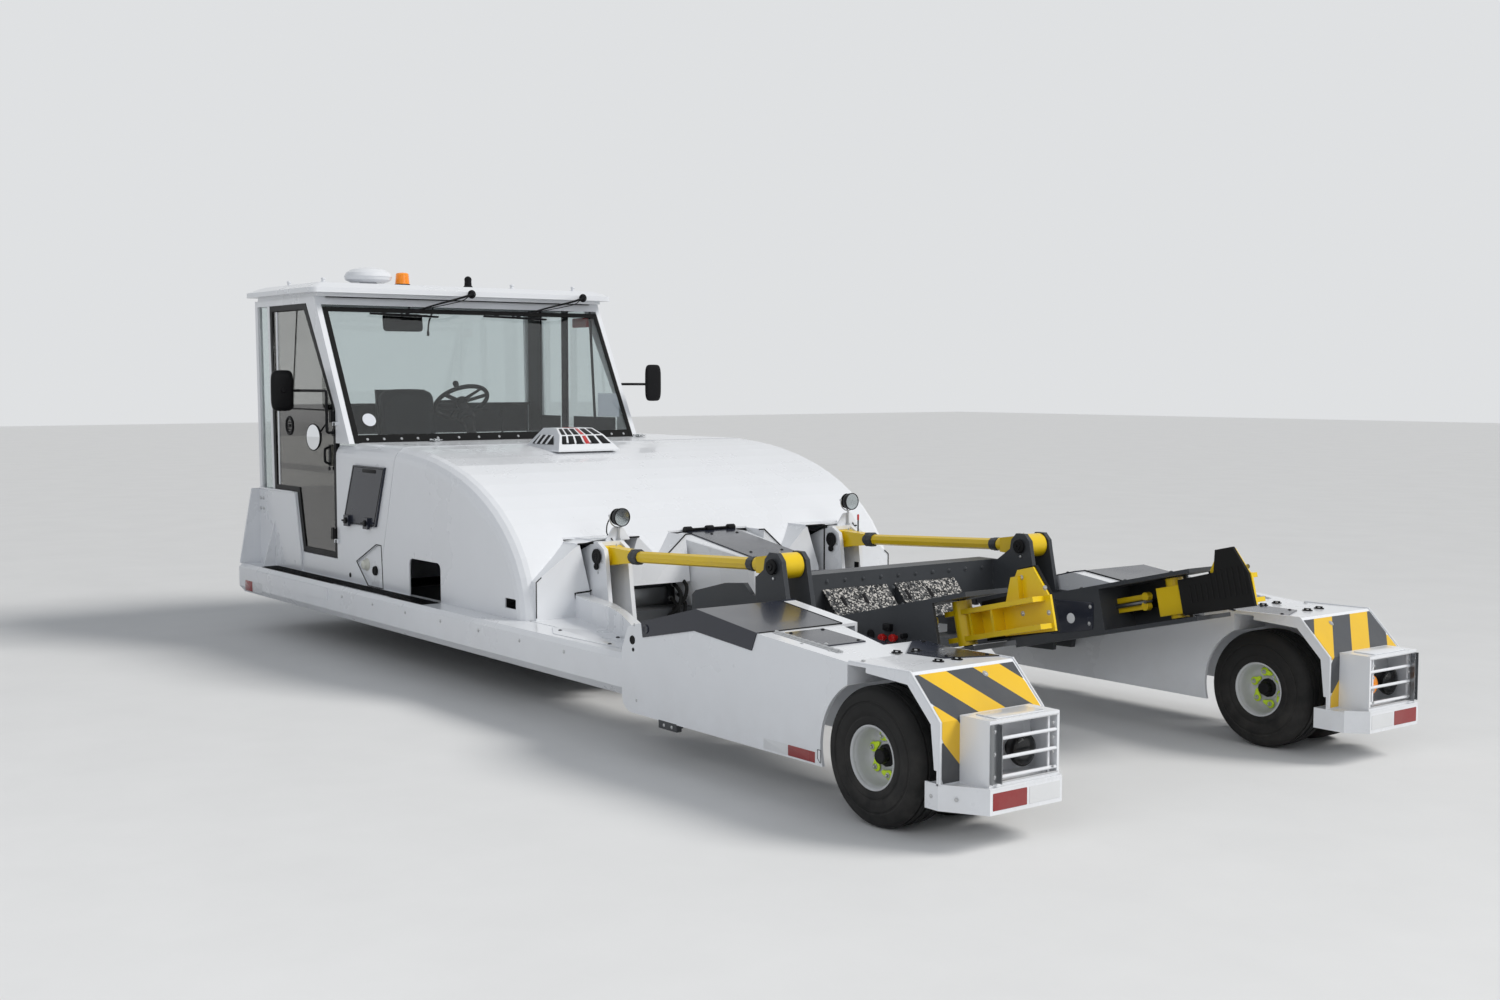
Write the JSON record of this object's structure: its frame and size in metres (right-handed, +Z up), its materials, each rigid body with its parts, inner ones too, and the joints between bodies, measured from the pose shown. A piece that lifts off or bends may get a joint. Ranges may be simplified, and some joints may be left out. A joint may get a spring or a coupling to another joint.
{
  "type": "towbarless aircraft pushback tractor with an electric drive",
  "caption": "Low tractor with an offset cab, rear arms on small twin wheels and a lifting cradle with swinging gates that takes an aircraft's nose wheels.",
  "frame": {"origin": "on the ground under the middle of the vehicle's length and width", "axes": "+X towards the cab end, +Y towards the door side, +Z up"},
  "size_m": [7.384, 3.077, 2.5263],
  "materials": {
    "white_paint": "glossy",
    "dark_paint": "satin",
    "yellow_paint": "satin",
    "black_trim": "satin",
    "glass": "clear",
    "tinted_glass": "tinted",
    "dark_cover": "glossy",
    "seat_vinyl": "matte",
    "lamp_lens": "clear",
    "grip_plate": "rough",
    "black_rubber": "matte",
    "rim_grey": "satin",
    "amber_lens": "glossy"
  },
  "bodies": {
    "chassis": {"chassis_frame": "dark_paint", "sill_left": "white_paint", "sill_right": "white_paint", "step_grating": "black_trim", "hood_shell": "white_paint", "hood_cowl": "white_paint", "cab_body": "white_paint", "cab_frame": "white_paint", "roof_panel": "white_paint", "cab_glass": "glass", "front_guards": "white_paint", "centre_fairing": "white_paint", "seat_base": "black_trim", "seat_cushions": "seat_vinyl", "driver_console": "black_trim", "steering_wheel": "black_trim", "arm_left": "white_paint", "arm_right": "white_paint", "arm_covers": "dark_cover", "fenders": "white_paint", "bumpers": "white_paint", "lamp_units": "lamp_lens", "uprights": "white_paint", "work_lamps": "lamp_lens", "front_axle": "dark_paint", "battery_block": "dark_paint", "mirror_right": "black_trim", "roof_dome": "white_paint", "beacon": "amber_lens"},
    "door": {"door_frame": "black_trim", "door_glass": "tinted_glass", "mirror_left": "black_trim"},
    "flap": {"charge_flap": "dark_cover"},
    "lift_link": {"lower_link_left": "dark_paint"},
    "lower_link_r": {"lower_link_right": "dark_paint"},
    "upper_link_l": {"upper_link_left": "yellow_paint"},
    "upper_link_r": {"upper_link_right": "yellow_paint"},
    "cradle": {"cradle_frame": "dark_paint", "cradle_plates": "grip_plate"},
    "gate_l": {"gate_left": "yellow_paint", "gate_pad_left": "black_rubber"},
    "gate_r": {"gate_right": "yellow_paint", "gate_pad_right": "black_rubber"},
    "rear_wheels_l": {"rear_tyres_left": "black_rubber", "rear_hubs_left": "rim_grey"},
    "rear_wheels_r": {"rear_tyres_right": "black_rubber", "rear_hubs_right": "rim_grey"},
    "steer_l": {"front_knuckle_left": "dark_paint"},
    "steer_r": {"front_knuckle_right": "dark_paint"},
    "front_wheel_l": {"front_wheel_left": "black_rubber"},
    "front_wheel_r": {"front_wheel_right": "black_rubber"}
  },
  "joints": [
    {"name": "cradle_lift", "type": "hinge", "parent": "chassis", "child": "lift_link", "pos_m": [-0.205, 0.83, 0.37], "axis": [0, 1, 0], "range_deg": [-9.5, 5.5]},
    {"name": "lower_link_right", "type": "hinge", "parent": "chassis", "child": "lower_link_r", "pos_m": [-0.205, -0.83, 0.37], "axis": [0, 1, 0], "range_deg": [-9.5, 5.5]},
    {"name": "upper_link_left", "type": "hinge", "parent": "chassis", "child": "upper_link_l", "pos_m": [-0.205, 0.83, 0.79], "axis": [0, 1, 0], "range_deg": [-9.5, 5.5]},
    {"name": "upper_link_right", "type": "hinge", "parent": "chassis", "child": "upper_link_r", "pos_m": [-0.205, -0.83, 0.79], "axis": [0, 1, 0], "range_deg": [-9.5, 5.5]},
    {"name": "cradle_level", "type": "hinge", "parent": "lift_link", "child": "cradle", "pos_m": [-1.75994, 0.83, 0.45013], "axis": [0, 1, 0], "range_deg": [-5.5, 9.5]},
    {"name": "gate_left", "type": "hinge", "parent": "cradle", "child": "gate_l", "pos_m": [-2.8353, 0.705, 0.70434], "axis": [0.23, 0, 0.9732], "range_deg": [0, 90]},
    {"name": "gate_right", "type": "hinge", "parent": "cradle", "child": "gate_r", "pos_m": [-2.8353, -0.705, 0.70434], "axis": [-0.23, 0, -0.9732], "range_deg": [0, 90]},
    {"name": "door_hinge", "type": "hinge", "parent": "chassis", "child": "door", "pos_m": [2.327, 1.343, 1.2], "axis": [0, 0, 1], "range_deg": [0, 75]},
    {"name": "flap_hinge", "type": "hinge", "parent": "chassis", "child": "flap", "pos_m": [1.88, 1.337, 1.217], "axis": [1, 0, 0], "range_deg": [0, 90]},
    {"name": "rear_left_roll", "type": "hinge", "parent": "chassis", "child": "rear_wheels_l", "pos_m": [-3.124, 1.219, 0.279], "axis": [0, 1, 0], "continuous": true},
    {"name": "rear_right_roll", "type": "hinge", "parent": "chassis", "child": "rear_wheels_r", "pos_m": [-3.124, -1.219, 0.279], "axis": [0, 1, 0], "continuous": true},
    {"name": "steer_left", "type": "hinge", "parent": "chassis", "child": "steer_l", "pos_m": [1.15, 0.33, 0.35], "axis": [0, 0, 1], "range_deg": [-35, 35]},
    {"name": "steer_right", "type": "hinge", "parent": "chassis", "child": "steer_r", "pos_m": [1.15, -0.33, 0.35], "axis": [0, 0, 1], "range_deg": [-35, 35]},
    {"name": "front_left_roll", "type": "hinge", "parent": "steer_l", "child": "front_wheel_l", "pos_m": [1.15, 0.52, 0.35], "axis": [0, 1, 0], "continuous": true},
    {"name": "front_right_roll", "type": "hinge", "parent": "steer_r", "child": "front_wheel_r", "pos_m": [1.15, -0.52, 0.35], "axis": [0, 1, 0], "continuous": true}
  ],
  "couplings": [
    {"joint": "lower_link_right", "follows": "cradle_lift", "ratio": 1},
    {"joint": "upper_link_left", "follows": "cradle_lift", "ratio": 1},
    {"joint": "upper_link_right", "follows": "cradle_lift", "ratio": 1},
    {"joint": "cradle_level", "follows": "cradle_lift", "ratio": -1},
    {"joint": "steer_right", "follows": "steer_left", "ratio": 1}
  ]
}
